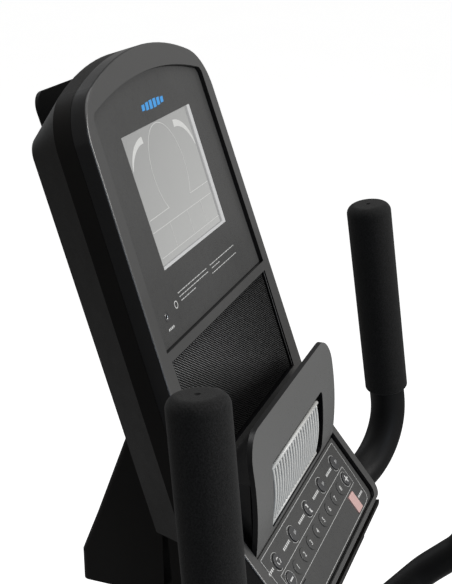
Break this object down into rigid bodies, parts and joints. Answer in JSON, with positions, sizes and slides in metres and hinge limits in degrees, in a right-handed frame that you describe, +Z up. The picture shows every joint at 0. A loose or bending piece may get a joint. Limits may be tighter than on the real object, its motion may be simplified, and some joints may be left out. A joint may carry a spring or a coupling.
{
  "type": "elliptical trainer",
  "caption": "Upright elliptical trainer: tilted console with display, speaker grille, reading rest and keypad, fixed and moving grips, pedal arms, cranks and a rear flywheel housing.",
  "frame": {"origin": "on the floor under the middle of the machine's bounding box", "axes": "+Z up, +Y the way the user faces, +X the user's right"},
  "size_m": [0.642, 1.73, 1.7023],
  "materials": {
    "frame_paint": "satin powder coat",
    "black_shell": "fine matt texture",
    "front_moulding": "satin",
    "overlay_film": "semi gloss",
    "display_glass": "clear",
    "mesh_black": "perforated",
    "vent_silver": "silver satin",
    "key_grey": "satin",
    "key_red": "satin",
    "foam": "fine cellular foam",
    "pedal_plastic": "ribbed",
    "wheel_rubber": "matt",
    "bright_steel": "zinc plated",
    "wheel_iron": "machined rim",
    "pulley_plastic": "moulded",
    "circuit_board": "solder mask"
  },
  "bodies": {
    "frame": {"base_frame": "frame_paint", "front_stabilizer": "frame_paint", "rear_stabilizer": "frame_paint", "rear_frame": "frame_paint", "mast_tube": "frame_paint", "console_bracket": "frame_paint", "handlebar_tube": "frame_paint", "handlebar_clamp": "frame_paint", "console_rear_shell": "black_shell", "housing_right": "black_shell", "housing_left": "black_shell", "mast_boot": "black_shell", "neck_cover": "black_shell", "stabilizer_caps": "black_shell", "hub_caps": "black_shell", "console_front_shell": "front_moulding", "reading_rest": "front_moulding", "display_overlay": "overlay_film", "keypad_overlay": "overlay_film", "lcd_window": "display_glass", "speaker_mesh": "mesh_black", "fan_louvre": "vent_silver", "fixed_grip_right": "foam", "fixed_grip_left": "foam", "leveling_feet": "pedal_plastic", "drive_belt": "wheel_rubber", "pivot_axle": "bright_steel", "frame_bearings": "bright_steel", "console_screws": "bright_steel", "display_board": "circuit_board", "speakers": "circuit_board"},
    "swing_right": {"swing_arm_right": "frame_paint", "moving_grip_right": "foam", "pedal_joint_pin_right": "bright_steel"},
    "swing_left": {"swing_arm_left": "frame_paint", "moving_grip_left": "foam", "pedal_joint_pin_left": "bright_steel"},
    "pedal_right": {"pedal_arm_right": "frame_paint", "pedal_right": "pedal_plastic"},
    "pedal_left": {"pedal_arm_left": "frame_paint", "pedal_left": "pedal_plastic"},
    "crank": {"crank_axle": "bright_steel", "crank_arm_right": "bright_steel", "crank_arm_left": "bright_steel", "drive_pulley": "pulley_plastic"},
    "flywheel": {"flywheel": "wheel_iron", "flywheel_axle": "bright_steel"},
    "brake": {"brake_magnet_arm": "frame_paint"},
    "fan": {"fan_rotor": "pedal_plastic"},
    "wheel_right": {"transport_wheel_right": "wheel_rubber"},
    "wheel_left": {"transport_wheel_left": "wheel_rubber"},
    "fan_key_body": {"fan_key": "key_grey"},
    "recovery_key_body": {"recovery_key": "key_grey"},
    "mode_key_body": {"mode_key": "key_grey"},
    "enter_key_body": {"enter_key": "key_grey"},
    "reset_key_body": {"reset_key": "key_grey"},
    "minus_key_body": {"minus_key": "key_grey"},
    "plus_key_body": {"plus_key": "key_grey"},
    "start_key_body": {"start_key": "key_grey"},
    "stop_key_body": {"stop_key": "key_red"}
  },
  "joints": [
    {"name": "swing_left_pivot", "type": "hinge", "parent": "frame", "child": "swing_left", "pos_m": [-0.209, 0.605, 0.89], "axis": [1, 0, 0], "range_deg": [0, 36.9]},
    {"name": "swing_right_pivot", "type": "hinge", "parent": "frame", "child": "swing_right", "pos_m": [0.209, 0.605, 0.89], "axis": [1, 0, 0], "range_deg": [-37, 0]},
    {"name": "pedal_left_pivot", "type": "hinge", "parent": "swing_left", "child": "pedal_left", "pos_m": [-0.149, 0.415, 0.32088], "axis": [1, 0, 0], "range_deg": [-37, 0]},
    {"name": "pedal_right_pivot", "type": "hinge", "parent": "swing_right", "child": "pedal_right", "pos_m": [0.149, 0.795, 0.32088], "axis": [1, 0, 0], "range_deg": [-0.1, 37]},
    {"name": "flywheel_spin", "type": "hinge", "parent": "frame", "child": "flywheel", "pos_m": [0, -0.695, 0.33], "axis": [1, 0, 0], "continuous": true},
    {"name": "crank_spin", "type": "hinge", "parent": "frame", "child": "crank", "pos_m": [0, -0.495, 0.321], "axis": [1, 0, 0], "continuous": true},
    {"name": "brake_swing", "type": "hinge", "parent": "frame", "child": "brake", "pos_m": [-0.008, -0.735, 0.168], "axis": [1, 0, 0], "range_deg": [0, 3]},
    {"name": "fan_spin", "type": "hinge", "parent": "frame", "child": "fan", "pos_m": [0, 0.482, 1.386], "axis": [1, 0, 0], "continuous": true},
    {"name": "wheel_right_spin", "type": "hinge", "parent": "frame", "child": "wheel_right", "pos_m": [0.279, 0.833, 0.036], "axis": [1, 0, 0], "continuous": true},
    {"name": "wheel_left_spin", "type": "hinge", "parent": "frame", "child": "wheel_left", "pos_m": [-0.279, 0.833, 0.036], "axis": [1, 0, 0], "continuous": true},
    {"name": "fan_key_press", "type": "slide", "parent": "frame", "child": "fan_key_body", "axis": [0, 0.7848, -0.6198], "range_m": [0, 0.0006], "stiffness_N_per_m": 600},
    {"name": "recovery_key_press", "type": "slide", "parent": "frame", "child": "recovery_key_body", "axis": [0, 0.7848, -0.6198], "range_m": [0, 0.0006], "stiffness_N_per_m": 600},
    {"name": "mode_key_press", "type": "slide", "parent": "frame", "child": "mode_key_body", "axis": [0, 0.7848, -0.6198], "range_m": [0, 0.0006], "stiffness_N_per_m": 600},
    {"name": "enter_key_press", "type": "slide", "parent": "frame", "child": "enter_key_body", "axis": [0, 0.7848, -0.6198], "range_m": [0, 0.0006], "stiffness_N_per_m": 600},
    {"name": "reset_key_press", "type": "slide", "parent": "frame", "child": "reset_key_body", "axis": [0, 0.7848, -0.6198], "range_m": [0, 0.0006], "stiffness_N_per_m": 600},
    {"name": "minus_key_press", "type": "slide", "parent": "frame", "child": "minus_key_body", "axis": [0, 0.7848, -0.6198], "range_m": [0, 0.0006], "stiffness_N_per_m": 600},
    {"name": "plus_key_press", "type": "slide", "parent": "frame", "child": "plus_key_body", "axis": [0, 0.7848, -0.6198], "range_m": [0, 0.0006], "stiffness_N_per_m": 600},
    {"name": "start_key_press", "type": "slide", "parent": "frame", "child": "start_key_body", "axis": [0, 0.7848, -0.6198], "range_m": [0, 0.0006], "stiffness_N_per_m": 600},
    {"name": "stop_key_press", "type": "slide", "parent": "frame", "child": "stop_key_body", "axis": [0, 0.7848, -0.6198], "range_m": [0, 0.0006], "stiffness_N_per_m": 600}
  ],
  "couplings": [
    {"joint": "swing_right_pivot", "follows": "swing_left_pivot", "ratio": -1},
    {"joint": "pedal_left_pivot", "follows": "swing_left_pivot", "ratio": -1},
    {"joint": "pedal_right_pivot", "follows": "swing_left_pivot", "ratio": 1},
    {"joint": "crank_spin", "follows": "flywheel_spin", "ratio": 0.14493}
  ]
}
